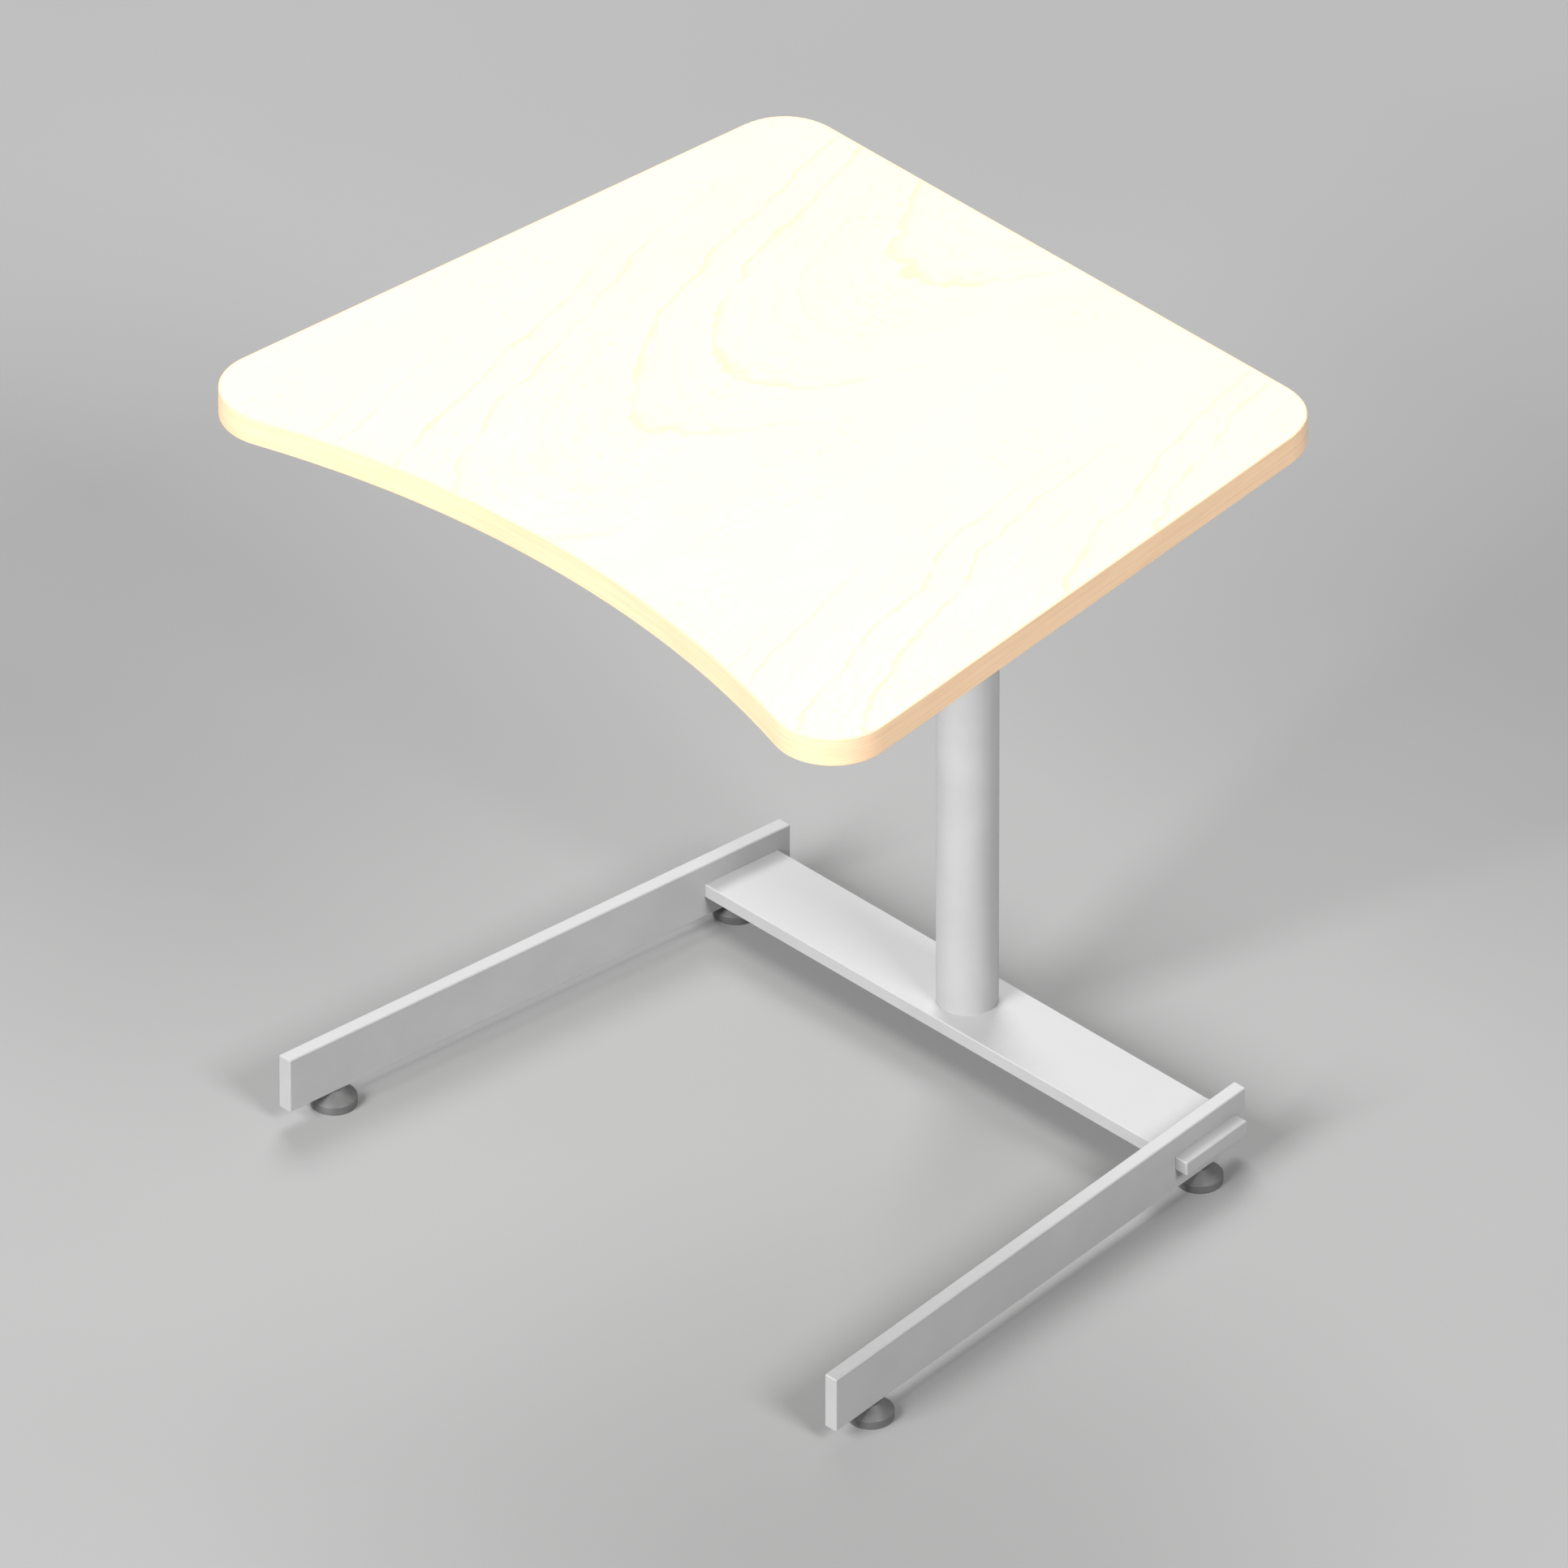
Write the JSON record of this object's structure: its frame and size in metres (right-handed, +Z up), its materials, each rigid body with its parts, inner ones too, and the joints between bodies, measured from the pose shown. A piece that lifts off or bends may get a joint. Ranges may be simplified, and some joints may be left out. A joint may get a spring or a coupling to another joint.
{
  "type": "overbed table",
  "caption": "Overbed table: wooden top with a concave user's edge and splayed sides on a telescopic column over a flat-bar U-shaped base on levelling glides.",
  "frame": {"origin": "on the floor, under the middle of the table's box", "axes": "+X to the user's right, -Y towards the seated user (the concave edge), +Z up"},
  "size_m": [0.7224, 0.6169, 0.7239],
  "materials": {
    "wood_face": "clear satin lacquer over pale maple",
    "wood_edge": "clear satin lacquer over pale maple",
    "board_core": "raw board",
    "painted_steel": "light grey satin powder coat",
    "chrome_tube": "polished",
    "bare_steel": "turned or brushed",
    "zinc_screws": "bright zinc plate",
    "black_paint": "black gloss paint",
    "black_plastic": "fine moulded texture",
    "glide_plastic": "satin moulded",
    "rubber": "matt"
  },
  "bodies": {
    "base": {"right_side_rail": "painted_steel", "left_side_rail": "painted_steel", "crossbar": "painted_steel", "crossbar_lock_screws": "zinc_screws", "outer_column_tube": "painted_steel", "column_base_plug": "bare_steel", "column_bolt": "zinc_screws", "column_washer": "zinc_screws", "column_dowels": "bare_steel", "column_tube_screw": "zinc_screws", "guide_screw": "zinc_screws", "upper_guide_bush": "black_plastic", "down_stop_ring": "rubber", "gas_spring_cylinder": "black_paint", "gas_spring_gland": "bare_steel", "gas_spring_seal": "rubber"},
    "top": {"tabletop_core": "board_core", "top_veneer": "wood_face", "backing_veneer": "wood_face", "edge_band": "wood_edge", "column_top_plate": "painted_steel", "top_plate_screws": "zinc_screws", "collar_set_screws": "zinc_screws", "inner_column_tube": "chrome_tube", "lower_slide_bush": "black_plastic", "gas_spring_rod": "chrome_tube", "gas_spring_piston": "black_plastic", "release_block": "bare_steel", "release_block_screws": "zinc_screws", "lever_bracket": "painted_steel", "lever_bracket_screws": "zinc_screws", "lever_pivot_pin": "bare_steel", "lever_pivot_clip": "bare_steel"},
    "lever": {"release_lever": "bare_steel", "lever_grip": "black_plastic"},
    "valve_pin": {"release_pin": "bare_steel"},
    "pad_front_left": {"glide_pad_front_left": "glide_plastic"},
    "stem_front_left": {"glide_stem_front_left": "zinc_screws"},
    "pad_front_right": {"glide_pad_front_right": "glide_plastic"},
    "stem_front_right": {"glide_stem_front_right": "zinc_screws"},
    "pad_rear_left": {"glide_pad_rear_left": "glide_plastic"},
    "stem_rear_left": {"glide_stem_rear_left": "zinc_screws"},
    "pad_rear_right": {"glide_pad_rear_right": "glide_plastic"},
    "stem_rear_right": {"glide_stem_rear_right": "zinc_screws"}
  },
  "joints": [
    {"name": "height_slide", "type": "slide", "parent": "base", "child": "top", "axis": [0, 0, 1], "range_m": [0, 0.3556]},
    {"name": "lever_squeeze", "type": "hinge", "parent": "top", "child": "lever", "pos_m": [0.044, 0.20686, 0.684], "axis": [0, -1, 0], "range_deg": [0, 3.25], "stiffness_Nm_per_rad": 30},
    {"name": "valve_pin_press", "type": "slide", "parent": "top", "child": "valve_pin", "axis": [0, 0, -1], "range_m": [0, 0.0025]},
    {"name": "glide_height_front_left", "type": "slide", "parent": "base", "child": "pad_front_left", "axis": [0, 0, -1], "range_m": [0, 0.008]},
    {"name": "glide_turn_front_left", "type": "hinge", "parent": "pad_front_left", "child": "stem_front_left", "pos_m": [-0.3049, -0.20854, 0.0085], "axis": [0, 0, -1], "range_deg": [0, 2305]},
    {"name": "glide_height_front_right", "type": "slide", "parent": "base", "child": "pad_front_right", "axis": [0, 0, -1], "range_m": [0, 0.008]},
    {"name": "glide_turn_front_right", "type": "hinge", "parent": "pad_front_right", "child": "stem_front_right", "pos_m": [0.3049, -0.20854, 0.0085], "axis": [0, 0, -1], "range_deg": [0, 2305]},
    {"name": "glide_height_rear_left", "type": "slide", "parent": "base", "child": "pad_rear_left", "axis": [0, 0, -1], "range_m": [0, 0.008]},
    {"name": "glide_turn_rear_left", "type": "hinge", "parent": "pad_rear_left", "child": "stem_rear_left", "pos_m": [-0.26336, 0.20686, 0.0085], "axis": [0, 0, -1], "range_deg": [0, 2305]},
    {"name": "glide_height_rear_right", "type": "slide", "parent": "base", "child": "pad_rear_right", "axis": [0, 0, -1], "range_m": [0, 0.008]},
    {"name": "glide_turn_rear_right", "type": "hinge", "parent": "pad_rear_right", "child": "stem_rear_right", "pos_m": [0.26336, 0.20686, 0.0085], "axis": [0, 0, -1], "range_deg": [0, 2305]}
  ],
  "couplings": [
    {"joint": "valve_pin_press", "follows": "lever_squeeze", "m_per_rad": 0.044},
    {"joint": "glide_turn_front_left", "follows": "glide_height_front_left", "rad_per_m": 5026.5},
    {"joint": "glide_turn_front_right", "follows": "glide_height_front_right", "rad_per_m": 5026.5},
    {"joint": "glide_turn_rear_left", "follows": "glide_height_rear_left", "rad_per_m": 5026.5},
    {"joint": "glide_turn_rear_right", "follows": "glide_height_rear_right", "rad_per_m": 5026.5}
  ]
}
